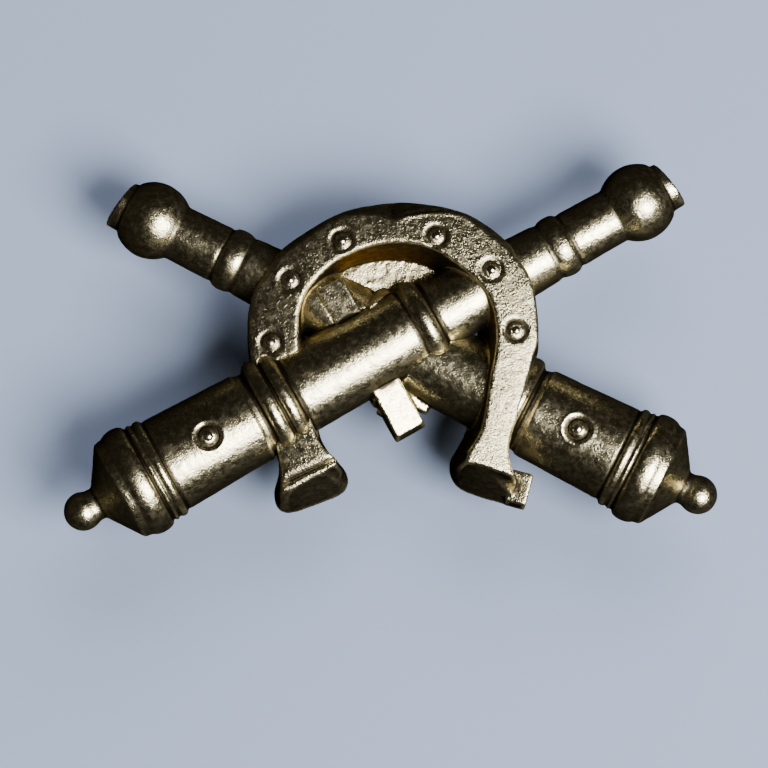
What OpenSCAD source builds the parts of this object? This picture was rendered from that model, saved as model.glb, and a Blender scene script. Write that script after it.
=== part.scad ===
// Cap badge: two crossed cannon barrels laced through a horseshoe, with a threaded post, two
// locating pins, a washer and a knurled round nut on the back.
// Frame: millimetres, +Z towards the front of the badge, +X along its width, +Y towards the toe
// of the horseshoe; the origin is under the badge's centre, at the nut's outer face.

/* [Fastening] */
// Thickness of the round nut
nut_h = 2.6; // [2.2:0.1:3.2]
// Radius of the round nut, over the knurling
nut_r = 4.4; // [4:0.1:4.5]
// Number of knurl grooves round the nut
nut_knurls = 28; // [20:2:32]
// Thickness of the washer
washer_h = 0.5; // [0.4:0.1:0.8]
// Radius of the washer
washer_r = 4.6; // [4.4:0.1:4.7]
// Thickness of the post's flange, which the washer stops against
flange_h = 0.6; // [0.5:0.1:1]
// Radius of the post's flange
flange_r = 2.5; // [2.2:0.1:3]
// Distance of the post's axis above the badge's centre, towards the toe
post_y = 2.8; // [2.6:0.1:2.9]
// Outside radius of the post's thread
post_r = 1.5; // [1.4:0.05:1.6]
// How far the post's end sits above the nut's outer face
post_recess = 0.3; // [0.2:0.1:0.5]
// Running clearance of the nut on the post, on the radius
nut_gap = 0.05; // [0.03:0.01:0.08]
// Running clearance of the washer on the post, on the radius
washer_gap = 0.09; // [0.05:0.01:0.1]
// Distance between the two locating pins
pin_spacing = 13.9; // [13.6:0.1:14.2]
// Radius of a locating pin
pin_r = 0.5; // [0.4:0.05:0.6]
// Length of a locating pin
pin_len = 2.2; // [1.8:0.1:2.6]

/* [Horseshoe] */
// Outer radius at the widest part
shoe_r = 8.45; // [8.2:0.05:8.6]
// Outer radius of the flatter curve at the toe
toe_r = 10.5; // [10:0.1:11]
// Distance of the toe's outer edge from the crossing of the barrels
toe_y = 7.75; // [7.6:0.05:7.9]
// Inner radius of the arch
arch_r = 5.5; // [5.3:0.05:5.6]
// Height of the face above the back, on the centre line
face_h = 3.7; // [3.65:0.05:3.8]
// Side slope of the face, higher on the right, in degrees
face_slope = 3.6; // [3.4:0.1:3.8]
// Turn of the shoe in the badge's plane, in degrees
shoe_turn = 1.6; // [0:0.1:2]
// Width of a heel pad along its end
heel_w = 3.4; // [3.2:0.1:3.8]

/* [Barrels] */
// Angle of the front barrel to the badge's width, in degrees
barrel_angle = 28.5; // [27:0.5:30]
// Radius over the base ring
base_r = 3.33; // [3.2:0.01:3.4]
// Radius of the first section, at the vent
breech_r = 2.82; // [2.7:0.02:2.9]
// Radius of the muzzle swell
swell_r = 2.26; // [2.2:0.02:2.4]
// Radius of the ball at the breech
ball_r = 1.13; // [1:0.01:1.2]
// Height of the front barrel's axis above the back
front_z = 1.75; // [1.7:0.05:1.8]
// Height of the rear barrel's axis above the back
rear_z = 0.7; // [0.6:0.05:0.75]
// Angle of the rear barrel to the badge's width, in degrees
rear_angle = 27.7; // [27.5:0.1:28.5]
// Length of the rear barrel's breech half as a share of the front one's
rear_share = 0.945; // [0.93:0.005:0.96]
// Length of the rear barrel's muzzle half as a share of the front one's
muzzle_share = 0.99; // [0.98:0.005:1]
// Height of the front barrel's upper trunnion above the back
trunnion_z = 2.85; // [2.75:0.05:2.95]
// Height at which the barrels and the shoe are halved where they cross
lap_z = 1; // [0.9:0.05:1.1]

/* [Small parts] */
// Radius of the recess round each nail
nail_recess_r = 0.76; // [0.7:0.02:0.8]
// Radius of a nail
nail_r = 0.33; // [0.28:0.01:0.36]
// Radius of the recess round each vent
vent_recess_r = 0.82; // [0.76:0.02:0.86]
// Radius of a vent stud
vent_r = 0.38; // [0.32:0.01:0.42]
// Height of the web plate in the arch
web_h = 1.35; // [1.2:0.05:1.5]

/* [Hidden] */
$fn = 64;
back_z = nut_h + washer_h + flange_h;
emblem_x = 0.5;
emblem_y = 0.6;
shoe_x = -0.2;
rear_y = -0.23;
post_end = post_recess;
solder = 0.02;
nail_depth = 0.32;

// Barrel pieces lie along X, with the breech towards -X.
module taper(x0, x1, r0, r1) {
    translate([x0, 0, 0]) rotate([0, 90, 0]) cylinder(h = x1 - x0, r1 = r0, r2 = r1);
}

// A ring with a round crown, of width w and outer radius r, centred at x.
module bead(x, w, r) {
    translate([x, 0, 0]) rotate([0, 90, 0])
        rotate_extrude() translate([r - w / 2, 0]) circle(w / 2);
    taper(x - w * 0.4, x + w * 0.4, r - w * 0.45, r - w * 0.45);
}

// One barrel about its own axis; k and m are the lengths of its breech and muzzle halves as
// shares of the front barrel's.
module barrel(k, m) {
    ball_x = -20.7 * k;
    translate([ball_x, 0, 0]) sphere(ball_r);
    taper(ball_x, ball_x + 1.2, 0.9, 0.98);
    taper(ball_x + 1, -18.3 * k, 0.96, base_r - 0.3);
    taper(-18.3 * k, -17.6 * k, base_r - 0.3, base_r - 0.3);
    bead(-17.25 * k, 1.3, base_r);
    taper(-17.1 * k, -16.1 * k, base_r - 0.24, base_r - 0.24);
    taper(-16.5 * k, -15.7 * k, breech_r + 0.02, breech_r + 0.02);
    bead(-15.7 * k, 0.5, base_r - 0.27);
    taper(-15.75 * k, -9.45 * k, breech_r + 0.06, breech_r - 0.12);
    taper(-9.6 * k, -8.5 * k, 2.55, 2.55);
    bead(-8.35 * k, 0.86, 2.92);
    bead(-7.38 * k, 0.86, 2.92);
    taper(-8.55 * k, 1.5 * m, 2.58, 2.33);
    bead(1.8 * m, 1.1, 2.56);
    taper(1.1 * m, 10.5 * m, 2.2, 1.75);
    bead(10.8 * m, 1.2, 1.87);
    taper(10.4 * m, 15 * m, 1.7, 1.63);
    translate([15.95 * m, 0, 0]) sphere(swell_r);
    taper(17.4 * m, 18.3 * m, 1.55, 1.45);
}

// The part above the emblem's flat back.
module above_back() {
    intersection() {
        children();
        translate([-30, -30, 0]) cube([60, 60, 12]);
    }
}

module front_solid() {
    above_back() union() {
        translate([0, 0, front_z]) barrel(1, 1);
        translate([-2.9, -1, 0]) cube([1.9, 5.6, trunnion_z]);
        translate([-2.9, 0, 0]) rotate([90, 0, 90]) linear_extrude(1.9)
            polygon([[1, 0], [1, 2.6], [-2.4, 2.6], [-5.2, 1.9], [-5.2, 0]]);
        translate([-3.05, -2.85, 0]) cube([2.2, 5.7, 2.3]);
    }
}

module rear_solid() {
    above_back() union() {
        translate([0, 0, rear_z]) barrel(rear_share, muzzle_share);
        translate([-2.35, -4.2, 0]) cube([1.6, 8.4, 0.94]);
        translate([-3.4, -2.85, 0]) cube([2.7, 5.7, 1.2]);
    }
}

// The emblem's own frame: where the barrels' axes cross, on the flat back.
module on_back() { translate([emblem_x, emblem_y, back_z]) children(); }
module place_front() { on_back() rotate([0, 0, barrel_angle]) children(); }
module place_rear() {
    on_back() translate([0, rear_y, 0]) mirror([1, 0, 0]) rotate([0, 0, rear_angle]) children();
}

// Straight notches for the halved joints. Each is cut from one piece where the other passes.
module rear_notch() {
    place_rear() {
        translate([-7, -2.58, -1]) cube([14, 5.16, lap_z + 1]);
        translate([-2.37, -4.22, -1]) cube([1.64, 8.44, lap_z + 1]);
        translate([-3.42, -2.87, -1]) cube([2.74, 5.74, lap_z + 1]);
    }
}

module front_notch() {
    place_front() translate([0, 0, lap_z]) {
        linear_extrude(9) polygon([[-7, 2.58], [2.4, 2.58], [2.4, 2.2], [7, 2.05],
            [7, -2.05], [2.4, -2.2], [2.4, -2.58], [-7, -2.58]]);
        translate([-2.92, -5.22, 0]) cube([1.94, 9.84, 9]);
        translate([-3.07, -2.87, 0]) cube([2.24, 5.74, 9]);
    }
}

// The front barrel lies over the left-hand branch, and under the right-hand one.
module front_over_shoe() {
    place_front() translate([0, 0, lap_z]) linear_extrude(9) polygon([[-13, 2.94],
        [-6.9, 2.94], [-6.9, 2.64], [-4, 2.64], [-4, -2.64], [-6.9, -2.64], [-6.9, -2.94],
        [-13, -2.94]]);
}

module front_under_shoe() {
    place_front() translate([0, 0, front_z]) taper(3, 11, 2.14, 1.72);
}

module shoe_under_front() {
    on_back() translate([-6.35, -4.2, -1]) rotate([0, 0, 12])
        translate([-1.95, -6, 0]) cube([3.9, 12, lap_z + 1]);
}

// The rear barrel lies under both branches.
module rear_under_shoe() {
    place_rear() translate([0, 0, rear_z]) {
        taper(-13.5, -3, 2.95, 2.95);
        taper(3, 12, 2.14, 1.72);
    }
}

// The right-hand branch of the shoe, from the side tangent down to the heel.
function branch_x(y) = shoe_r * 0.96 - 0.29 * (-y - 2.36);

module branch() {
    linear_extrude(6) polygon([[5.3, 0], [shoe_r - 0.2, 0], [branch_x(-2.36), -2.36],
        [branch_x(-7.2), -7.2], [6.75, -8.4], [4.1, -7.9], [4.1, -7.1], [4.8, -5.8]]);
    translate([5.4, -8.05, 0]) rotate([0, 0, -17.5]) heel();
}

// A heel pad: its end slopes outwards from the face to a wider foot.
module heel() {
    translate([-heel_w / 2, 0, 0]) rotate([90, 0, 90]) linear_extrude(heel_w)
        polygon([[-1.45, 0], [1.4, 0], [1.4, 6], [0.06, 6], [-0.2, 3], [-1.4, 0.5]]);
    translate([heel_w / 2 - 0.3, -1.3, 0]) cube([0.95, 1.9, 1.3]);
}

module shoe_solid() {
    on_back() translate([shoe_x, 0, 0]) rotate([0, 0, shoe_turn])
    intersection() {
        difference() {
            union() {
                intersection() {
                    cylinder(h = 6, r = shoe_r);
                    translate([0, toe_y - toe_r, 0]) cylinder(h = 6, r = toe_r);
                    translate([-10, -0.6, 0]) cube([20, 12, 6]);
                }
                branch();
                mirror([1, 0, 0]) branch();
            }
            translate([0, -0.25, -1]) cylinder(h = 8, r = arch_r);
        }
        rotate([0, -face_slope, 0]) translate([-12, -12, face_h - 10]) cube([24, 24, 10]);
        translate([-12, -12, 0]) cube([24, 24, 6]);
    }
}

// Nail positions on the right-hand side; the left-hand side mirrors them.
nail_spots = [[7.05, -0.2], [5.8, 3.38], [2.72, 5.5]];
function face_at(x) = face_h + x * tan(face_slope);

module at_nails() {
    on_back() translate([shoe_x, 0, 0]) rotate([0, 0, shoe_turn])
        for (side = [-1, 1]) for (p = nail_spots)
            translate([side * p[0], p[1], face_at(side * p[0])])
                rotate([0, -face_slope, 0]) children();
}

module at_vents() {
    place_front() translate([-12.35, 0, front_z + breech_r]) children();
    place_rear() translate([-12.35 * rear_share, 0, rear_z + breech_r]) children();
}

module horseshoe() {
    color([0.80, 0.71, 0.50]) difference() {
        shoe_solid();
        rear_under_shoe();
        front_under_shoe();
        front_over_shoe();
        at_nails() {
            translate([0, 0, -0.18]) cylinder(h = 1, r = nail_recess_r);
            translate([0, 0, -nail_depth]) cylinder(h = 1, r = nail_r + solder);
        }
    }
}

module front_barrel() {
    color([0.84, 0.76, 0.55]) difference() {
        place_front() front_solid();
        rear_notch();
        shoe_under_front();
        at_vents() vent_pocket();
    }
}

module rear_barrel() {
    color([0.82, 0.73, 0.52]) difference() {
        place_rear() rear_solid();
        front_notch();
        at_vents() vent_pocket();
    }
}

module vent_pocket() {
    translate([0, 0, -0.22]) cylinder(h = 1, r = vent_recess_r);
    translate([0, 0, -1.1]) cylinder(h = 1.5, r = vent_r + solder);
}

module vent_studs() {
    color([0.86, 0.79, 0.60]) at_vents() stud(vent_r, 1.1);
}

module nail_studs() {
    color([0.86, 0.79, 0.60]) at_nails() stud(nail_r, nail_depth);
}

// A short pin of the given depth with a domed head at the surface.
module stud(r, depth) {
    translate([0, 0, -depth]) cylinder(h = depth - 0.12, r = r);
    intersection() {
        translate([0, 0, -0.12 - r * 0.6]) sphere(r * 1.166);
        translate([-1, -1, -0.13]) cube([2, 2, 1]);
    }
}

module web_plate() {
    color([0.78, 0.68, 0.47]) difference() {
        on_back() intersection() {
            translate([shoe_x, 0, 0]) rotate([0, 0, shoe_turn])
                translate([0, -0.25, 0]) cylinder(h = web_h, r = arch_r - solder);
            linear_extrude(web_h) polygon([[0, 0], [-7, 3.8], [-7, 7], [7, 7], [7, 3.8]]);
        }
        place_front() front_solid();
        place_rear() rear_solid();
    }
}

module on_post() { translate([emblem_x, post_y, 0]) children(); }

module screw_post() {
    color([0.72, 0.60, 0.36]) on_post() {
        translate([0, 0, back_z - flange_h]) cylinder(h = flange_h, r = flange_r);
        translate([0, 0, post_end + 0.3]) cylinder(h = back_z - post_end - 0.4, r = post_r);
        translate([0, 0, post_end]) cylinder(h = 0.3, r1 = post_r - 0.3, r2 = post_r);
    }
}

module locating_pins() {
    color([0.72, 0.60, 0.36])
    for (side = [-1, 1]) translate([side * pin_spacing / 2, 0, back_z - pin_len]) {
        cylinder(h = 0.35, r1 = pin_r * 0.5, r2 = pin_r);
        translate([0, 0, 0.35]) cylinder(h = pin_len - 0.45, r = pin_r);
        translate([0, 0, pin_len - 0.1]) cylinder(h = 0.1, r1 = pin_r, r2 = pin_r + 0.1);
    }
}

module washer() {
    color([0.70, 0.60, 0.40]) on_post() translate([0, 0, nut_h]) difference() {
        cylinder(h = washer_h, r = washer_r);
        translate([0, 0, -1]) cylinder(h = washer_h + 2, r = post_r + washer_gap);
    }
}

module round_nut() {
    color([0.75, 0.64, 0.41]) on_post() difference() {
        union() {
            cylinder(h = 0.3, r1 = nut_r - 0.3, r2 = nut_r);
            translate([0, 0, 0.3]) cylinder(h = nut_h - 0.6, r = nut_r);
            translate([0, 0, nut_h - 0.3]) cylinder(h = 0.3, r1 = nut_r, r2 = nut_r - 0.3);
        }
        translate([0, 0, -1]) cylinder(h = nut_h + 2, r = post_r + nut_gap);
        translate([0, 0, -0.01])
            cylinder(h = 0.31, r1 = post_r + nut_gap + 0.31, r2 = post_r + nut_gap);
        for (i = [0 : nut_knurls - 1]) rotate([0, 0, i * 360 / nut_knurls])
            translate([nut_r + 0.12, 0, -1]) rotate([0, 0, 45])
                translate([-0.22, -0.22, 0]) cube([0.44, 0.44, nut_h + 2]);
    }
}

horseshoe();
front_barrel();
rear_barrel();
web_plate();
nail_studs();
vent_studs();
screw_post();
locating_pins();
washer();
round_nut();
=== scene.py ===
"""Cap badge: crossed cannon barrels laced through a horseshoe, in antique brass, with its post,
pins, washer and round nut behind. Metres outside, millimetres inside the shape functions."""
import math
from collections import namedtuple

import bpy
import numpy as np
from mathutils import Matrix, Vector


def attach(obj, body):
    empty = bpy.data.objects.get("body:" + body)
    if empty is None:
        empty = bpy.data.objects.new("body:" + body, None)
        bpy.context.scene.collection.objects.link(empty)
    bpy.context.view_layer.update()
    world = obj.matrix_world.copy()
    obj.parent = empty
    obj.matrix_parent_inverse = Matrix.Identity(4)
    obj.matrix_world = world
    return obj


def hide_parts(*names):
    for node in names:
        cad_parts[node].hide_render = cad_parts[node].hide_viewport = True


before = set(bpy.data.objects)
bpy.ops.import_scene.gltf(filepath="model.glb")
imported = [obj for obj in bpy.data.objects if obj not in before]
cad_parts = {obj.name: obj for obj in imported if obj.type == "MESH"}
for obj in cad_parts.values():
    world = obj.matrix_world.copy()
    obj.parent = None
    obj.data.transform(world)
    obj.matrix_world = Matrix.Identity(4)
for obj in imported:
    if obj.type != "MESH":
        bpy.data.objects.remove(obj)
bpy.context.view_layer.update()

MM = 0.001

# ---------------------------------------------------------------- sizes, as in the CAD model
NUT_H, NUT_R, NUT_BORE, KNURLS = 2.6, 4.4, 1.55, 28
WASHER_H, WASHER_R, WASHER_BORE = 0.5, 4.6, 1.59
FLANGE_H, FLANGE_R = 0.6, 2.5
POST_R, POST_END = 1.5, 0.3
POST_AT = (0.5, 2.8, 0.0)
PIN_X, PIN_R, PIN_LEN = 6.95, 0.5, 2.2
BACK_Z = NUT_H + WASHER_H + FLANGE_H
EMBLEM = np.array([0.5, 0.6, BACK_Z])
FRONT_TURN, REAR_TURN = math.radians(28.5), math.pi - math.radians(27.7)
FRONT_Z, REAR_Z, REAR_Y = 1.75, 0.7, -0.23
REAR_SHARE, MUZZLE_SHARE = 0.945, 0.99
BASE_R, BREECH_R, SWELL_R, BALL_R = 3.33, 2.82, 2.26, 1.13
FACE_H, FACE_SLOPE = 3.7, math.tan(math.radians(3.6))
SHOE_X, SHOE_TURN = -0.2, math.radians(1.6)
LAP_Z, WEB_H = 1.0, 1.35

# ---------------------------------------------------------------- sizes of the visual model only
BALL_S, VENT_S, SWELL_S = -20.7, -12.35, 16.05  # stations along a barrel, from the crossing
SWELL_END_S, LIP_END_S = 17.62, 18.22
WEB_X, WEB_Y, WEB_R = -0.21, -0.25, 5.48
LACE_X = -2.8  # the front barrel lies over the shoe to the left of this, and under it to the right
GAP = 0.01  # between pieces that are cut to one another
SKIN = 0.012  # how far turned faces lie inside the CAD's, to leave room for their relief
NAIL_R, NAIL_DEPTH, NAIL_SINK = 0.33, 0.3, 0.02
VENT_R, VENT_DEPTH, VENT_SINK = 0.38, 0.6, 0.03
THREAD_PITCH, THREAD_DEPTH, THREAD_TOP = 0.5, 0.16, 2.9
STEP_H, STEP_TURN, STEP_AT = 1.3, math.radians(-15.9), (5.42, -7.9)
DISH_R, DISH_DEPTH = 3.2, 0.22
NUT_GROOVES = ((3.95, 0.13, 0.09), (3.55, 0.08, 0.05))  # radius, width and depth


# ---------------------------------------------------------------- distance-field tools
def smax(a, b, k):
    """The larger of two fields, with the edge between them rounded over about k."""
    h = np.clip(0.5 + 0.5 * (a - b) / k, 0, 1)
    return b + (a - b) * h + k * h * (1 - h)


def smin(a, b, k):
    """The smaller of two fields, with the edge between them rounded over about k."""
    return -smax(-a, -b, k)


def hump(off, width):
    """1 where off is 0, and almost nothing two widths away from it."""
    return np.exp(-((off / width) ** 2))


def turned(x, y, angle):
    """A point turned anticlockwise about the origin."""
    c, s = math.cos(angle), math.sin(angle)
    return x * c - y * s, x * s + y * c


LATTICE_SIZE = 48
LATTICE = np.random.default_rng(11).random((LATTICE_SIZE,) * 3).astype(np.float32) * 2 - 1


def value_noise(x, y, z, per_mm, shift=0.0):
    """Smooth random relief from -1 to 1, with per_mm cells to the millimetre."""
    out = np.zeros(x.shape, np.float32)
    cell, part = [], []
    for c in (x, y, z):
        c = c * per_mm + shift
        f = np.floor(c)
        t = (c - f).astype(np.float32)
        cell.append(f.astype(np.int64))
        part.append(t * t * (3 - 2 * t))
    for corner in CORNERS:
        w = 1
        for side, t in zip(corner, part):
            w = w * (t if side else 1 - t)
        at = tuple((c + side) % LATTICE_SIZE for side, c in zip(corner, cell))
        out += w * LATTICE[at]
    return out


def roughen(field, x, y, z, fine, broad):
    """Adds cast relief near the surface of a field: fine orange peel and broad unevenness."""
    field = field.astype(np.float32)
    near = np.abs(field) < 0.35
    px, py, pz = (np.broadcast_to(c, field.shape)[near] for c in (x, y, z))
    field[near] += (
        fine * value_noise(px, py, pz, per_mm=3.4)
        + 0.6 * fine * value_noise(px, py, pz, per_mm=6.1, shift=7.3)
        + broad * value_noise(px, py, pz, per_mm=0.8, shift=3.1)
    )
    return field


def spline(points, per=7):
    """A smooth line through the points, with per steps from each to the next."""
    p = np.array(points, float)
    p = np.vstack([2 * p[0] - p[1], p, 2 * p[-1] - p[-2]])
    out = []
    for a, b, c, d in zip(p[:-3], p[1:-2], p[2:-1], p[3:]):
        for t in np.arange(per) / per:
            quadratic = 2 * b + (c - a) * t + (2 * a - 5 * b + 4 * c - d) * t**2
            out.append(0.5 * (quadratic + (3 * b - a - 3 * c + d) * t**3))
    return np.array(out + [p[-2]])


def soften(line, rounds=2):
    """A closed line with its corners cut, then cut again."""
    for _ in range(rounds):
        following = np.roll(line, -1, 0)
        line = np.stack([0.75 * line + 0.25 * following, 0.25 * line + 0.75 * following], 1)
        line = line.reshape(-1, 2)
    return line


def line_distance(line, x, y, closed):
    """Distance to a polyline. For a closed one it is negative inside."""
    best = np.full(np.broadcast(x, y).shape, 1e9)
    inside = np.zeros(best.shape, bool)
    ends = np.roll(line, -1, 0) if closed else line[1:]
    for (ax, ay), (bx, by) in zip(line, ends):
        ex, ey = bx - ax, by - ay
        if ex * ex + ey * ey < 1e-12:
            continue
        t = np.clip(((x - ax) * ex + (y - ay) * ey) / (ex * ex + ey * ey), 0, 1)
        best = np.minimum(best, (x - ax - t * ex) ** 2 + (y - ay - t * ey) ** 2)
        if closed and ey:
            inside ^= ((ay > y) != (by > y)) & (x < ex * (y - ay) / ey + ax)
    d = np.sqrt(best)
    return np.where(inside, -d, d)


# ---------------------------------------------------------------- from fields to meshes
CORNERS = [(i, j, k) for i in (0, 1) for j in (0, 1) for k in (0, 1)]  # of one cell
EDGES = [
    (a, b) for a in CORNERS for b in CORNERS if a < b and sum(abs(p - q) for p, q in zip(a, b)) == 1
]
RELIEF_LIMIT = 0.4  # millimetres of field on each side of the surface that the relief looks at
RELIEF_REACH = {"edge": 2, "hollow": 5}  # half widths of its boxes, in cells
MARGIN = 6.5  # cells round a piece, so that the wider box stays inside the field


def blur(field, half):
    """Mean over a box that reaches half cells each way."""
    for axis in range(3):
        n = field.shape[axis]
        total = np.cumsum(np.insert(field.astype(np.float64), 0, 0, axis=axis), axis=axis)
        hi = np.minimum(np.arange(n) + half + 1, n)
        lo = np.maximum(np.arange(n) - half, 0)
        shape = [1, 1, 1]
        shape[axis] = n
        field = (np.take(total, hi, axis) - np.take(total, lo, axis)) / (hi - lo).reshape(shape)
    return field


def surface(field, origin, step):
    """Closed quads round the inside of a field, with one point in each cell that the surface
    crosses, and for each reach how far the points stand out or, below zero, lie in a hollow."""
    inside = field < 0
    count = np.zeros([n - 1 for n in field.shape], np.uint8)
    for c in CORNERS:
        count += inside[tuple(slice(o, n - 1 + o) for o, n in zip(c, field.shape))]
    active = (count > 0) & (count < 8)
    cells = np.argwhere(active)
    number = np.full(active.shape, -1, np.int64)
    number[active] = np.arange(len(cells))
    value = {c: field[tuple((cells + c).T)].astype(np.float64) for c in CORNERS}
    place, hits = np.zeros((len(cells), 3)), np.zeros(len(cells))
    for a, b in EDGES:
        cross = (value[a] < 0) != (value[b] < 0)
        t = np.where(cross, value[a] / np.where(cross, value[a] - value[b], 1), 0)
        along = np.array(a) + t[:, None] * (np.array(b) - np.array(a))
        place += np.where(cross[:, None], along, 0)
        hits += cross
    points = (cells + place / hits[:, None]) * step + origin
    quads = []
    for axis in range(3):
        u, v = (axis + 1) % 3, (axis + 2) % 3
        lo, hi = [slice(1, -1)] * 3, [slice(1, -1)] * 3
        lo[axis], hi[axis] = slice(0, -1), slice(1, None)
        low = inside[tuple(lo)]
        change = low != inside[tuple(hi)]
        e = np.argwhere(change)
        e[:, u] += 1
        e[:, v] += 1
        eu, ev = np.eye(3, dtype=int)[u], np.eye(3, dtype=int)[v]
        q = np.stack([number[tuple((e - o).T)] for o in (eu + ev, ev, 0 * eu, eu)], 1)
        out = low[change]
        quads.append(np.where(out[:, None], q, q[:, ::-1]))
    relief = []
    field = np.clip(field, -RELIEF_LIMIT, RELIEF_LIMIT)
    for half in RELIEF_REACH.values():
        bent = (blur(field, half) - field) / (half * step)
        relief.append(np.mean([bent[tuple((cells + c).T)] for c in CORNERS], 0))
    return points, np.vstack(quads), relief


def add_mesh(name, points, quads, relief):
    """A smooth object from quads, with its relief as attributes for the material."""
    mesh = bpy.data.meshes.new(name)
    mesh.vertices.add(len(points))
    mesh.vertices.foreach_set("co", np.ascontiguousarray(points, np.float32).ravel())
    mesh.loops.add(4 * len(quads))
    mesh.loops.foreach_set("vertex_index", np.ascontiguousarray(quads, np.int32).ravel())
    mesh.polygons.add(len(quads))
    mesh.polygons.foreach_set("loop_start", np.arange(0, 4 * len(quads), 4, dtype=np.int32))
    mesh.polygons.foreach_set("use_smooth", np.ones(len(quads), bool))
    for key, values in zip(RELIEF_REACH, relief):
        layer = mesh.attributes.new(key, "FLOAT", "POINT")
        layer.data.foreach_set("value", np.ascontiguousarray(values, np.float32))
    mesh.update(calc_edges=True)
    mesh.validate()
    piece = bpy.data.objects.new(name, mesh)
    bpy.context.scene.collection.objects.link(piece)
    return piece


def cast(name, node, body, material, shape, boxes, step, turn=0.0, base=(0, 0, 0)):
    """One piece from a field. boxes are (low, high) corners in a frame turned about z and moved
    to base; shape takes x, y, z there unturned, in millimetres from base."""
    all_points, all_quads, all_relief, start = [], [], [[] for _ in RELIEF_REACH], 0
    for low, high in boxes:
        axes = [
            np.arange(a - MARGIN * step, b + (MARGIN + 1) * step, step) for a, b in zip(low, high)
        ]
        u, v, z = np.meshgrid(*axes, indexing="ij", sparse=True)
        field = shape(*turned(u, v, turn), z)
        points, quads, relief = surface(field, np.array([a[0] for a in axes]), step)
        x, y = turned(points[:, 0], points[:, 1], turn)
        all_points.append(np.stack([x, y, points[:, 2]], 1) + base)
        all_quads.append(quads + start)
        all_relief = [a + [r] for a, r in zip(all_relief, relief)]
        start += len(points)
    piece = add_mesh(
        name,
        np.vstack(all_points) * MM,
        np.vstack(all_quads),
        [np.concatenate(r) for r in all_relief],
    )
    piece.data.materials.append(material)
    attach(piece, body)
    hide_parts(node)
    return piece


# ---------------------------------------------------------------- the barrels
# Plain lengths of a barrel from breech to muzzle: two stations, and the radius at each.
TAPERS = (
    (-21, -19.6, 0.93, 0.97),
    (-19.7, -18.3, 0.96, BASE_R - 0.3),
    (-18.3, -17.7, BASE_R - 0.3, BASE_R - 0.2),
    (-16.6, -15.4, BREECH_R + 0.16, BREECH_R + 0.1),
    (-15.75, -9.45, BREECH_R + 0.06, BREECH_R - 0.12),
    (-9.6, -8.5, 2.55, 2.55),
    (-8.55, 1.5, 2.58, 2.33),
    (1.3, 10.5, 2.2, 1.75),
    (10.4, 15, 1.7, 1.63),
)
LIP = (17.4, 19.2, 1.5, 1.42)
# Rings: station, width, radius over the crown, and how high the crown is for its width.
RINGS = (
    (-17.1, 1.5, BASE_R, 0.5),
    (-16.13, 0.34, BASE_R - 0.24, 0.7),
    (-15.66, 0.56, BASE_R - 0.26, 0.5),
    (-8.37, 0.96, 2.95, 0.8),
    (-7.38, 0.9, 2.92, 0.8),
    (1.8, 1.1, 2.57, 0.8),
    (10.8, 1.2, 1.87, 0.35),
)
# Narrow grooves beside the rings: station and depth.
GROOVES = (
    (-16.33, 0.1), (-15.94, 0.08), (-15.31, 0.07), (-9.02, 0.1), (-6.72, 0.1),
    (1.06, 0.1), (2.54, 0.09), (10.1, 0.08), (11.5, 0.07),
)
GROOVE_WIDTH = 0.09


def barrel_profile(k, m):
    """Radius of a barrel along its axis, with every corner slightly softened. k and m are the
    shares of the front barrel's length that its breech and muzzle halves have."""
    s = np.arange(-22, 19.5, 0.01)
    r = np.zeros(len(s))

    def scaled(at):
        return at * (k if at < 0 else m)

    def taper(a, b, ra, rb):
        a, b = scaled(a), scaled(b)
        on = (s >= a) & (s <= b)
        r[on] = np.maximum(r[on], np.interp(s[on], [a, b], [ra, rb]))

    def ring(at, width, top, crown):
        half = width / 2
        off = np.clip(np.abs(s - scaled(at)) / half, 0, 1)
        r[:] = np.maximum(r, np.where(off < 1, top - half * crown * (1 - np.sqrt(1 - off**2)), 0))

    for row in TAPERS:
        taper(*row)
    for row in RINGS:
        ring(*row)
    swell = SWELL_R**2 - (s - scaled(SWELL_S)) ** 2
    r[:] = np.maximum(r, np.sqrt(np.maximum(swell, 0)))
    for at, depth in GROOVES:
        r -= depth * hump(s - scaled(at), GROOVE_WIDTH)
    r[s > scaled(SWELL_END_S)] = 0
    taper(*LIP)
    soft = np.exp(-0.5 * (np.arange(-20, 21) / 5.5) ** 2)
    r = np.convolve(np.pad(r, 20, mode="edge"), soft / soft.sum(), "valid")
    return s, r, np.gradient(r, s)


# One barrel: its profile, the shares its breech and muzzle halves have, its turn in the badge's
# plane, where its axis lies, the slant of its muzzle's face, the blocks beside it and the spot
# where their tilted tops have their stated height. A block is its first and last station, its
# first and last place across, its height, and whether its top is tilted.
Barrel = namedtuple("Barrel", "profile breech muzzle turn axis_y axis_z slant blocks level_at")
FRONT = Barrel(
    profile=barrel_profile(1, 1),
    breech=1,
    muzzle=1,
    turn=FRONT_TURN,
    axis_y=0,
    axis_z=FRONT_Z,
    slant=0.16,
    blocks=(
        (-2.9, -1.0, 0, 4.65, 2.85, False),
        (-2.95, -0.95, -5.25, 0, 2.25, True),
        (-3.1, -0.85, -2.85, 2.85, 2.3, False),
    ),
    level_at=(0.15, -4.36),
)
REAR = Barrel(
    profile=barrel_profile(REAR_SHARE, MUZZLE_SHARE),
    breech=REAR_SHARE,
    muzzle=MUZZLE_SHARE,
    turn=REAR_TURN,
    axis_y=REAR_Y,
    axis_z=REAR_Z,
    slant=-0.16,
    blocks=(
        (-2.35, -0.75, -4.2, 0, 0.94, False),
        (-2.35, -0.75, 0, 4.2, 0.94, False),
        (-3.45, -0.6, -2.95, 2.95, 1.2, True),
    ),
    level_at=(1.3, -3.9),
)


def tilt(x, y, level_at):
    """Rise of a plane that faces down and to the right, from zero at one point."""
    return -0.2 * (x - level_at[0]) + 0.21 * (y - level_at[1])


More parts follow.
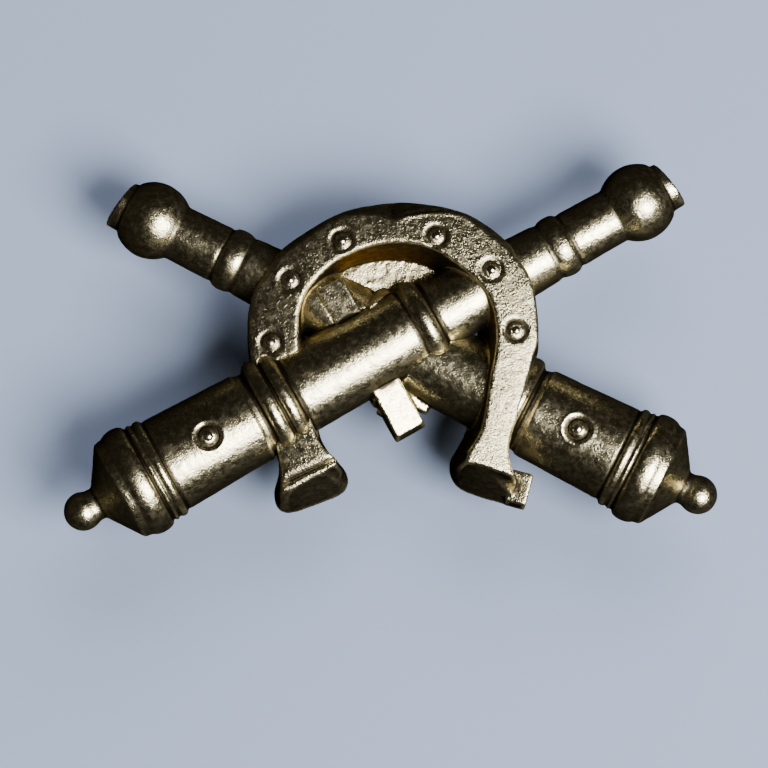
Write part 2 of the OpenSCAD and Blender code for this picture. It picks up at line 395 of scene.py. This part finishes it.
def barrel_whole(barrel, x, y, z):
    """One whole barrel above the flat back, before it is halved over its neighbours."""
    y = y - barrel.axis_y
    along, across = turned(x, y, -barrel.turn)
    stations, radii, slopes = barrel.profile
    radius = np.interp(along, stations, radii)
    lean = np.interp(along, stations, slopes)
    off_axis = np.sqrt(across**2 + (z - barrel.axis_z) ** 2)
    body = (off_axis - radius) / np.sqrt(1 + np.minimum(lean**2, 9))
    body = smax(body, along - LIP_END_S * barrel.muzzle + barrel.slant * across, 0.1)
    ball_s = BALL_S * barrel.breech
    body = np.maximum(body, ball_s - along)
    ball = np.sqrt((along - ball_s) ** 2 + across**2 + (z - barrel.axis_z) ** 2) - BALL_R
    body = smin(body, ball, 0.1)
    for s0, s1, q0, q1, top, tilted in barrel.blocks:
        block = smax(np.abs(along - (s0 + s1) / 2) - (s1 - s0) / 2 + 0.05 * z,
                     np.abs(across - (q0 + q1) / 2) - (q1 - q0) / 2 + 0.05 * z, 0.15)
        height = top + tilt(x, y, barrel.level_at) if tilted else top
        body = smin(body, smax(block, z - height, 0.1), 0.08)
    # a groove round the vent, with a low rim
    far = np.sqrt((along - VENT_S * barrel.breech) ** 2 + across**2)
    ring = 0.16 * hump(far - 0.6, 0.16) - 0.03 * hump(far - 0.93, 0.1)
    body = body + np.where(z > barrel.axis_z + 2, ring, 0)
    body = smax(body, -z, 0.06)
    return roughen(body, x, y, z, fine=0.007, broad=0.015)


# ---------------------------------------------------------------- the horseshoe
def nail_place(a, b):
    x, y = turned(a, b, SHOE_TURN)
    return x + SHOE_X, y


NAILS = [
    nail_place(side * a, b) for side in (-1, 1) for a, b in ((7.05, -0.2), (5.8, 3.38), (2.72, 5.5))
]
# The shoe's outer edge, from the right heel round the toe to the left heel, then its inner edge
# back again, at the face and at the foot of the drafted wall.
OUTER = spline([
    (6.74, -8.5), (6.4, -6.91), (6.75, -5.5), (7.42, -3.54), (8.0, -1.61), (8.3, -0.2),
    (8.02, 2.74), (6.68, 5.11), (4.24, 6.95), (0.96, 7.8), (-0.9, 7.74), (-3.43, 7.08),
    (-6.62, 5.11), (-8.36, 2.46), (-8.66, 0.02), (-8.25, -2.6), (-7.4, -5.6), (-6.75, -7.6),
])
INNER = spline([
    (-4.3, -6.5), (-4.75, -5.6), (-5.3, -3.2), (-5.62, -0.09), (-5.31, 2.1), (-3.78, 3.9),
    (-2.0, 4.82), (0.19, 5.13), (2.23, 4.62), (4.40, 2.95), (5.35, 1.39), (5.56, -0.33),
    (5.42, -1.63), (5.2, -2.51), (5.02, -3.68), (4.63, -5.59), (3.9, -6.85),
])
INNER_FOOT = spline([
    (-4.1, -6.4), (-4.5, -5.5), (-5.0, -3.2), (-5.28, -0.09), (-4.95, 1.9), (-3.4, 3.45),
    (-1.8, 4.1), (0.15, 4.25), (1.95, 3.85), (3.75, 2.5), (4.6, 1.2), (4.72, -0.33),
    (4.6, -1.63), (4.38, -2.51), (4.2, -3.68), (3.9, -5.4), (3.3, -6.6),
])
FACE_LINE = np.vstack([
    OUTER,
    [(-6.6, -8.9), (-5.07, -8.15), (-3.55, -7.6), (-3.5, -7.2)],
    INNER,
    [(3.64, -7.68)],
])
FOOT_LINE = soften(np.vstack([
    OUTER[2:-2],
    [(-6.95, -7.8), (-7.3, -8.9), (-7.05, -9.85), (-6.3, -10.12), (-4.7, -9.55)],
    [(-3.25, -9.02), (-2.85, -8.4), (-3.0, -7.65), (-3.55, -7.0)],
    INNER_FOOT,
    [(2.95, -7.1), (2.95, -7.95), (3.35, -8.7), (4.15, -9.1), (7.05, -10.0), (7.2, -9.8)],
    [(6.95, -8.6)],
]))
# The part of the face inside the toe clip's line, which dips in the middle of the toe.
TOE_CLIP = np.array([
    (-9.5, -13), (-9.5, 1.6), (-8.1, 2.6), (-6.4, 4.7), (-3.68, 6.55), (-2.9, 6.82),
    (-1.97, 6.94), (-1.0, 6.84), (-0.12, 6.5), (0.8, 6.78), (1.8, 6.92), (3.0, 6.93),
    (3.98, 6.72), (6.3, 4.85), (8.4, 2.2), (9.5, 1), (9.5, -13),
], float)


def shoe_top(x, y):
    """Height of the horseshoe's face over one column."""
    across = (
        line_distance(INNER, x, y, closed=False) - line_distance(OUTER, x, y, closed=False)
    ) / 2
    across = np.clip(across, -1.4, 1.4)
    top = FACE_H + FACE_SLOPE * x - 0.15 * across - 0.03 * across**2
    # the bevel outside the toe clip's line, which has a lip and a groove to the right of its dip
    clip = line_distance(TOE_CLIP, x, y, closed=True)
    right = np.clip(x * 1.4 - 0.2, 0, 1) * np.clip((5.2 - x) / 1.5, 0, 1)
    top = top + right * 0.05 * hump(clip + 0.05, 0.09)
    top = top - right * 0.14 * hump(clip - 0.14, 0.08)
    top = top - 1.25 * np.maximum(clip - 0.02, 0)
    # a groove and a faint rim round each nail
    for nail_x, nail_y in NAILS:
        far = np.hypot(x - nail_x, y - nail_y)
        top = top - 0.13 * hump(far - 0.56, 0.16)
        top = top + 0.01 * hump(far - 0.86, 0.1)
    # the left heel drops before its end, with a groove at the foot of the drop
    past_end = (x + 5.07) * 0.42 - (y + 8.15)
    left = x < -2.5
    top = top - np.where(left, 0.2 * np.clip((past_end + 0.75) / 0.5, 0, 1), 0)
    top = top - np.where(left, 0.16 * hump(past_end + 0.32, 0.13), 0)
    return top


def shoe_whole(x, y, z):
    """The whole horseshoe above the flat back, before it is cut for the barrels."""
    face = line_distance(FACE_LINE, x, y, closed=True)
    foot = line_distance(FOOT_LINE, x, y, closed=True)
    up = np.clip(z / 3.6, 0, 1.15)
    draft = np.where(np.abs(x) > 6.9, 0.15, 0.06)
    wall = foot * (1 - up) + (face + draft) * up
    d = smax(wall * 0.95, (z - shoe_top(x, y)) * 0.94, 0.2)
    # a low step outside the right heel
    u, v = turned(x - STEP_AT[0], y - STEP_AT[1], -STEP_TURN)
    step_end = np.maximum(v - 0.5, -v - 1.38 - 0.14 * (STEP_H - z))
    step = smax(np.abs(u - 1.75) - 0.62, step_end, 0.15)
    d = smin(d, smax(step, z - STEP_H - 0.12 * (u - 1.5), 0.15), 0.08)
    d = smax(d, -z, 0.06)
    return roughen(d, x, y, z, fine=0.009, broad=0.02)


# ---------------------------------------------------------------- laced together
def cut(field, tool):
    return np.maximum(field, GAP - tool)


def horseshoe_shape(x, y, z):
    front = barrel_whole(FRONT, x, y, z)
    front = np.where(x < LACE_X, np.maximum(front, LAP_Z - z), front)
    return cut(cut(shoe_whole(x, y, z), front), barrel_whole(REAR, x, y, z))


def front_shape(x, y, z):
    rear = np.maximum(barrel_whole(REAR, x, y, z), z - LAP_Z)
    shoe = np.maximum(shoe_whole(x, y, z), z - LAP_Z)
    return cut(cut(barrel_whole(FRONT, x, y, z), rear), np.where(x < LACE_X, shoe, 1.0))


def rear_shape(x, y, z):
    front = np.maximum(barrel_whole(FRONT, x, y, z), LAP_Z - z)
    return cut(barrel_whole(REAR, x, y, z), front)


WEB_LINE = np.array([(0, 0), (-7, 3.8), (-7, 7), (7, 7), (7, 3.8)], float)


def web_shape(x, y, z):
    d = np.maximum(
        line_distance(WEB_LINE, x, y, closed=True), np.hypot(x - WEB_X, y - WEB_Y) - WEB_R
    )
    top = np.minimum(WEB_H - 0.1 + 0.35 * tilt(x, y, (0, 4.7)), WEB_H)
    d = smax(d, np.maximum(z - top, -z), 0.05)
    d = roughen(d, x, y, z, fine=0.02, broad=0.03)
    d = cut(cut(d, barrel_whole(FRONT, x, y, z)), barrel_whole(REAR, x, y, z))
    return cut(d, shoe_whole(x, y, z))


# ---------------------------------------------------------------- studs and fastening
def dome(x, y, z, r, depth):
    """A small round pin with a domed head at z = 0."""
    far = np.hypot(x, y)
    head = np.sqrt(x**2 + y**2 + (z + 0.75 * r) ** 2) - 1.12 * r
    shank = smax(far - r, np.abs(z + depth / 2 + 0.03) - depth / 2 + 0.03, 0.06)
    d = smin(shank, smax(head, far - r, 0.05), 0.04)
    return roughen(d, x, y, z, fine=0.006, broad=0.004)


def stud_boxes(r, depth, spots):
    """One box for each stud, from its foot to above its head."""
    return [((a - r, b - r, c - depth), (a + r, b + r, c + 0.42 * r)) for a, b, c in spots]


def studs_shape(spots, r, depth):
    """The shape of whichever stud a box stands round."""
    def shape(x, y, z):
        a, b, c = min(spots, key=lambda p: abs(x.mean() - p[0]) + abs(y.mean() - p[1]))
        return dome(x - a, y - b, z - c, r, depth)

    return shape


def slab(z, low, height):
    """Distance outside the layer between two levels."""
    return np.abs(z - low - height / 2) - height / 2


def post_shape(x, y, z):
    r, turn = np.hypot(x, y), np.arctan2(y, x) / (2 * math.pi)
    fade = np.clip((THREAD_TOP - z) / 0.4, 0, 1)
    phase = np.abs(((z + THREAD_PITCH * turn) / THREAD_PITCH) % 1 - 0.5) * 2
    thread = THREAD_DEPTH * np.clip(1.35 * phase - 0.15, 0, 1)
    rod = r - POST_R + SKIN + fade * thread
    rod = smax(rod * 0.9, POST_END - z + np.maximum(r - POST_R + 0.35, 0), 0.06)
    rod = np.maximum(rod, z - BACK_Z + 0.01)
    flange = smax(r - FLANGE_R, slab(z, BACK_Z - FLANGE_H, FLANGE_H), 0.12)
    return roughen(smin(rod, flange, 0.04), x, y, z, fine=0.004, broad=0.0)


def pins_shape(x, y, z):
    x = np.abs(x) - PIN_X
    r = np.hypot(x, y)
    tip = BACK_Z - PIN_LEN - z + 1.1 * np.maximum(r - 0.22, 0)
    pin = smax(r - PIN_R + SKIN, tip, 0.08)
    solder = (r - PIN_R - 0.16 + 0.9 * (BACK_Z - z)) * 0.74
    pin = smin(pin, np.maximum(solder, BACK_Z - 0.3 - z), 0.1)
    pin = np.maximum(pin, z - BACK_Z)
    return roughen(pin, x, y, z, fine=0.004, broad=0.0)


def washer_shape(x, y, z):
    r = np.hypot(x, y)
    d = smax(r - WASHER_R, slab(z, NUT_H, WASHER_H) + 0.004, 0.12)
    d = smax(d, WASHER_BORE + 0.01 - r, 0.06)
    return roughen(d, x, y, z, fine=0.003, broad=0.0)


def nut_shape(x, y, z):
    r, turn = np.hypot(x, y), np.arctan2(y, x)
    knurl = np.abs((turn * KNURLS / (2 * math.pi)) % 1 - 0.5) * 2
    rim = (r - NUT_R + 0.02 + 0.2 * np.clip(1.5 * (1 - knurl) - 0.1, 0, 1) ** 0.8) * 0.85
    bevel = (r - NUT_R + 0.3 + np.abs(z - NUT_H / 2) - NUT_H / 2) * 0.7
    d = smax(smax(rim, bevel, 0.08), slab(z, 0, NUT_H) + 0.003, 0.05)
    # the outer face, with two turned grooves and a dished middle
    outer_face = z < 1
    for at, width, depth in NUT_GROOVES:
        d = d + depth * hump(r - at, width) * outer_face
    dish = DISH_DEPTH * np.clip((DISH_R - r) / 0.25, 0, 1)
    d = np.maximum(d, np.where(outer_face, dish - z, -9))
    bore = NUT_BORE + SKIN + np.maximum(0.5 - z, 0) * 0.8
    d = smax(d, (bore - r) * 0.9, 0.05)
    return roughen(d, x, y, z, fine=0.003, broad=0.0)


# ---------------------------------------------------------------- materials
GRAZING_TINT = (0.42, 0.36, 0.24, 1)


def brass(name, tone, shade_stain_colour, polish, grain, peel, wall):
    """Aged cast brass. tone is its clean colour, the next argument the colour painted as shade into its
    hollows and onto its steep sides and also used for its stains, polish the roughness of its clean
    metal, grain and peel the depth of its fine and coarse bumps in millimetres, wall how strongly
    the painted shade darkens the steep sides."""
    material = bpy.data.materials.new(name)
    material.use_nodes = True
    tree = material.node_tree
    node, link = tree.nodes.new, tree.links.new
    shader = tree.nodes["Principled BSDF"]
    shader.inputs["Metallic"].default_value = 1.0
    shader.inputs["Specular Tint"].default_value = GRAZING_TINT
    coords = node("ShaderNodeTexCoord")
    scale = node("ShaderNodeVectorMath")
    scale.operation = "SCALE"
    scale.inputs["Scale"].default_value = 1 / MM
    link(coords.outputs["Object"], scale.inputs[0])

    def feed(socket, value):
        """Links a socket to another's output, or sets it to a number or a colour."""
        if hasattr(value, "links"):
            link(value, socket)
        elif isinstance(value, tuple):
            socket.default_value = (*value, 1)
        else:
            socket.default_value = value

    def noise(per_mm, detail, rough):
        n = node("ShaderNodeTexNoise")
        n.inputs["Scale"].default_value = per_mm
        n.inputs["Detail"].default_value = detail
        n.inputs["Roughness"].default_value = rough
        link(scale.outputs[0], n.inputs["Vector"])
        return n.outputs["Fac"]

    def remap(value, low, high, to_low=0.0, to_high=1.0):
        m = node("ShaderNodeMapRange")
        link(value, m.inputs["Value"])
        m.inputs["From Min"].default_value = low
        m.inputs["From Max"].default_value = high
        m.inputs["To Min"].default_value = to_low
        m.inputs["To Max"].default_value = to_high
        return m.outputs["Result"]

    def combine(kind, a, b):
        m = node("ShaderNodeMath")
        m.operation = kind
        feed(m.inputs[0], a)
        feed(m.inputs[1], b)
        return m.outputs[0]

    def mix(fac, a, b):
        m = node("ShaderNodeMix")
        m.data_type = "RGBA"
        link(fac, m.inputs["Factor"])
        for key, v in (("A", a), ("B", b)):
            feed([i for i in m.inputs if i.name == key and i.type == "RGBA"][0], v)
        return [o for o in m.outputs if o.type == "RGBA"][0]

    def attribute(key):
        a = node("ShaderNodeAttribute")
        a.attribute_name = key
        return a.outputs["Fac"]

    def bump(depth, height):
        b = node("ShaderNodeBump")
        b.inputs["Distance"].default_value = depth * MM
        b.inputs["Strength"].default_value = 1.0
        link(height, b.inputs["Height"])
        return b

    speck = noise(5.5, detail=4.0, rough=0.7)
    cloud = noise(0.7, detail=4.0, rough=0.62)
    pits = noise(2.6, detail=5.0, rough=0.75)
    up = node("ShaderNodeSeparateXYZ")
    link(coords.outputs["Normal"], up.inputs[0])
    # Painted shade on the steep sides: the lower their normal points, the darker they are made.
    steep = remap(up.outputs["Z"], 0.8, 0.25)
    # Painted shade in the hollows, standing in for occlusion.
    hollow = remap(attribute("hollow"), -0.01, -0.11)
    edge = remap(attribute("edge"), 0.03, 0.16)
    stain = combine("MULTIPLY", remap(pits, 0.5, 0.72), 0.55)
    # dark holds the painted shade of the hollows and steep sides; the stains added to it next are the
    # metal's own.
    dark = combine("MAXIMUM", hollow, combine("MULTIPLY", steep, wall))
    dark = combine("ADD", dark, combine("MULTIPLY", stain, remap(cloud, 0.35, 0.65)))
    dark = combine("MINIMUM", dark, 0.97)
    worn = tuple(min(1.0, 1.14 * t + 0.03) for t in tone)
    base = mix(remap(cloud, 0.35, 0.68), tone, tuple(0.86 * t for t in tone))
    base = mix(remap(speck, 0.42, 0.7, 0.0, 0.55), base, worn)
    # Painted shade and stains: where dark is high the colour goes to the shade-and-stain colour.
    base = mix(dark, base, shade_stain_colour)
    base = mix(combine("MULTIPLY", edge, 0.7), base, worn)
    link(base, shader.inputs["Base Color"])
    rough = remap(pits, 0.3, 0.75, polish - 0.06, polish + 0.14)
    rough = combine("ADD", rough, combine("MULTIPLY", dark, 0.22))
    link(rough, shader.inputs["Roughness"])
    coarse = bump(peel, noise(2.7, detail=2.0, rough=0.5))
    fine = bump(grain, noise(9.0, detail=2.0, rough=0.6))
    link(coarse.outputs["Normal"], fine.inputs["Normal"])
    link(fine.outputs["Normal"], shader.inputs["Normal"])
    return material


# Colours that dark mixes in: painted shade in the hollows and on the steep sides, and the metal's own
# stains.
SHADE_AND_STAIN = (0.028, 0.021, 0.012)
# The web plate's is amber: a painted warm reflection in its hollows and on its steep sides, besides the
# painted shade and stains.
WEB_SHADE_GLINT_AND_STAIN = (0.10, 0.045, 0.010)
SHOE = brass("shoe_brass", (0.72, 0.65, 0.43), SHADE_AND_STAIN, polish=0.22, grain=0.042, peel=0.02, wall=0.95)
BARREL = brass("barrel_brass", (0.76, 0.69, 0.46), SHADE_AND_STAIN, polish=0.2, grain=0.022, peel=0.02, wall=0.8)
WEB = brass("web_brass", (0.78, 0.69, 0.44), WEB_SHADE_GLINT_AND_STAIN, polish=0.24, grain=0.035, peel=0.03, wall=0.6)
STUD = brass("stud_brass", (0.82, 0.74, 0.52), SHADE_AND_STAIN, polish=0.18, grain=0.01, peel=0.01, wall=0.6)
POST = brass("post_brass", (0.72, 0.58, 0.33), SHADE_AND_STAIN, polish=0.28, grain=0.008, peel=0.01, wall=0.2)
WASHER = brass("washer_brass", (0.70, 0.58, 0.36), SHADE_AND_STAIN, polish=0.3, grain=0.006, peel=0.01, wall=0.2)
NUT = brass("nut_brass", (0.76, 0.62, 0.36), SHADE_AND_STAIN, polish=0.27, grain=0.006, peel=0.01, wall=0.2)

# ---------------------------------------------------------------- the pieces
CAST_STEP = 0.08
cast("front_barrel_cast", "front_barrel", "badge", BARREL, front_shape,
     [((-21.85, -5.5, 0), (18.65, 5.0, 5.15))], CAST_STEP, turn=FRONT_TURN, base=EMBLEM)
cast("rear_barrel_cast", "rear_barrel", "badge", BARREL, rear_shape,
     [((-20.75, -4.4, 0), (18.6, 4.5, 4.1))], CAST_STEP, turn=REAR_TURN, base=EMBLEM)
cast("horseshoe_cast", "horseshoe", "badge", SHOE, horseshoe_shape,
     [((-8.8, -10.2, 0), (8.6, 8.0, 4.5))], CAST_STEP, base=EMBLEM)
cast("web_plate_cast", "web_plate", "badge", WEB, web_shape,
     [((-5.7, 0, 0), (5.3, 5.3, WEB_H))], step=0.06, base=EMBLEM)

nail_spots = [
    (x, y, shoe_top(np.array([x]), np.array([y]))[0] - NAIL_SINK) for x, y in NAILS
]
cast("nail_studs_cast", "nail_studs", "badge", STUD,
     studs_shape(nail_spots, NAIL_R, NAIL_DEPTH),
     stud_boxes(NAIL_R, NAIL_DEPTH, nail_spots), step=0.03, base=EMBLEM)
vent_spots = []
for barrel in (FRONT, REAR):
    vent_s = VENT_S * barrel.breech
    vent_x, vent_y = turned(vent_s, 0, barrel.turn)
    top = barrel.axis_z + np.interp(vent_s, barrel.profile[0], barrel.profile[1])
    vent_spots.append((vent_x, vent_y + barrel.axis_y, top - VENT_SINK))
cast("vent_studs_cast", "vent_studs", "badge", STUD,
     studs_shape(vent_spots, VENT_R, VENT_DEPTH),
     stud_boxes(VENT_R, VENT_DEPTH, vent_spots), step=0.03, base=EMBLEM)

cast("screw_post_turned", "screw_post", "badge", POST, post_shape,
     [((-FLANGE_R, -FLANGE_R, POST_END), (FLANGE_R, FLANGE_R, BACK_Z))], step=0.04, base=POST_AT)
cast("locating_pins_turned", "locating_pins", "badge", POST, pins_shape,
     [((side * PIN_X - 0.7, -0.7, BACK_Z - PIN_LEN), (side * PIN_X + 0.7, 0.7, BACK_Z))
      for side in (-1, 1)], step=0.035)
cast("washer_pressed", "washer", "washer", WASHER, washer_shape,
     [((-WASHER_R, -WASHER_R, NUT_H), (WASHER_R, WASHER_R, NUT_H + WASHER_H))],
     step=0.055, base=POST_AT)
cast("round_nut_knurled", "round_nut", "nut", NUT, nut_shape,
     [((-NUT_R, -NUT_R, 0), (NUT_R, NUT_R, NUT_H))], step=0.05, base=POST_AT)


# ---------------------------------------------------------------- floor, light and camera
def floor(half, drop, colour):
    """A square floor, a hair below the nut's face so that the two don't meet."""
    mesh = bpy.data.meshes.new("floor")
    mesh.from_pydata(
        [(-half, -half, 0), (half, -half, 0), (half, half, 0), (-half, half, 0)], [], [(0, 1, 2, 3)]
    )
    piece = bpy.data.objects.new("floor", mesh)
    bpy.context.scene.collection.objects.link(piece)
    material = bpy.data.materials.new("pale_floor")
    material.use_nodes = True
    shader = material.node_tree.nodes["Principled BSDF"]
    shader.inputs["Base Color"].default_value = (*colour, 1)
    shader.inputs["Roughness"].default_value = 0.75
    mesh.materials.append(material)
    piece.location.z = -drop
    piece.visible_glossy = False


def soft_light(name, direction, distance, width, height, watts, colour):
    """A rectangular lamp that looks at the emblem from one direction."""
    light = bpy.data.lights.new(name, "AREA")
    light.shape = "RECTANGLE"
    light.size, light.size_y = width, height
    light.energy = watts
    light.color = colour
    lamp = bpy.data.objects.new(name, light)
    bpy.context.scene.collection.objects.link(lamp)
    d = Vector(direction).normalized()
    lamp.location = Vector(EMBLEM * MM) + d * distance
    lamp.rotation_mode = "QUATERNION"
    lamp.rotation_quaternion = d.to_track_quat("Z", "Y")
    return lamp


floor(half=0.9, drop=0.00002, colour=(0.27, 0.34, 0.52))
soft_light("key", (0.45, -0.36, 0.81), distance=0.32, width=0.18, height=0.18, watts=2.4,
           colour=(1.0, 0.975, 0.90))
sky = soft_light("sky", (0.2, 0.72, 0.69), distance=0.6, width=0.5, height=0.35, watts=3.0,
                 colour=(1.0, 0.97, 0.93))
sky.visible_glossy = False
world = bpy.data.worlds.new("studio")
world.use_nodes = True
world.node_tree.nodes["Background"].inputs["Color"].default_value = (0.013, 0.011, 0.0075, 1)
world.node_tree.nodes["Background"].inputs["Strength"].default_value = 1.0
bpy.context.scene.world = world

TILT, ROLL, HALF_VIEW = math.radians(6.5), math.radians(0.8), math.radians(4.92)
DISTANCE, AIM_LEFT, AIM_DOWN = 260.0, 0.72, 2.53
SENSOR = 36
back = Vector((0, -math.sin(TILT), math.cos(TILT)))
level_right, level_up = Vector((1, 0, 0)), Vector((0, math.cos(TILT), math.sin(TILT)))
right = level_right * math.cos(ROLL) - level_up * math.sin(ROLL)
up = level_right * math.sin(ROLL) + level_up * math.cos(ROLL)
aim = Vector(EMBLEM) - right * AIM_LEFT - up * AIM_DOWN
camera_data = bpy.data.cameras.new("camera")
camera_data.sensor_width = SENSOR
camera_data.lens = SENSOR / 2 / math.tan(HALF_VIEW)
camera_data.clip_start, camera_data.clip_end = 0.01, 5
camera = bpy.data.objects.new("camera", camera_data)
bpy.context.scene.collection.objects.link(camera)
camera.rotation_mode = "QUATERNION"
camera.rotation_quaternion = Matrix((right, up, back)).transposed().to_quaternion()
camera.location = (aim + back * DISTANCE) * MM
bpy.context.scene.camera = camera
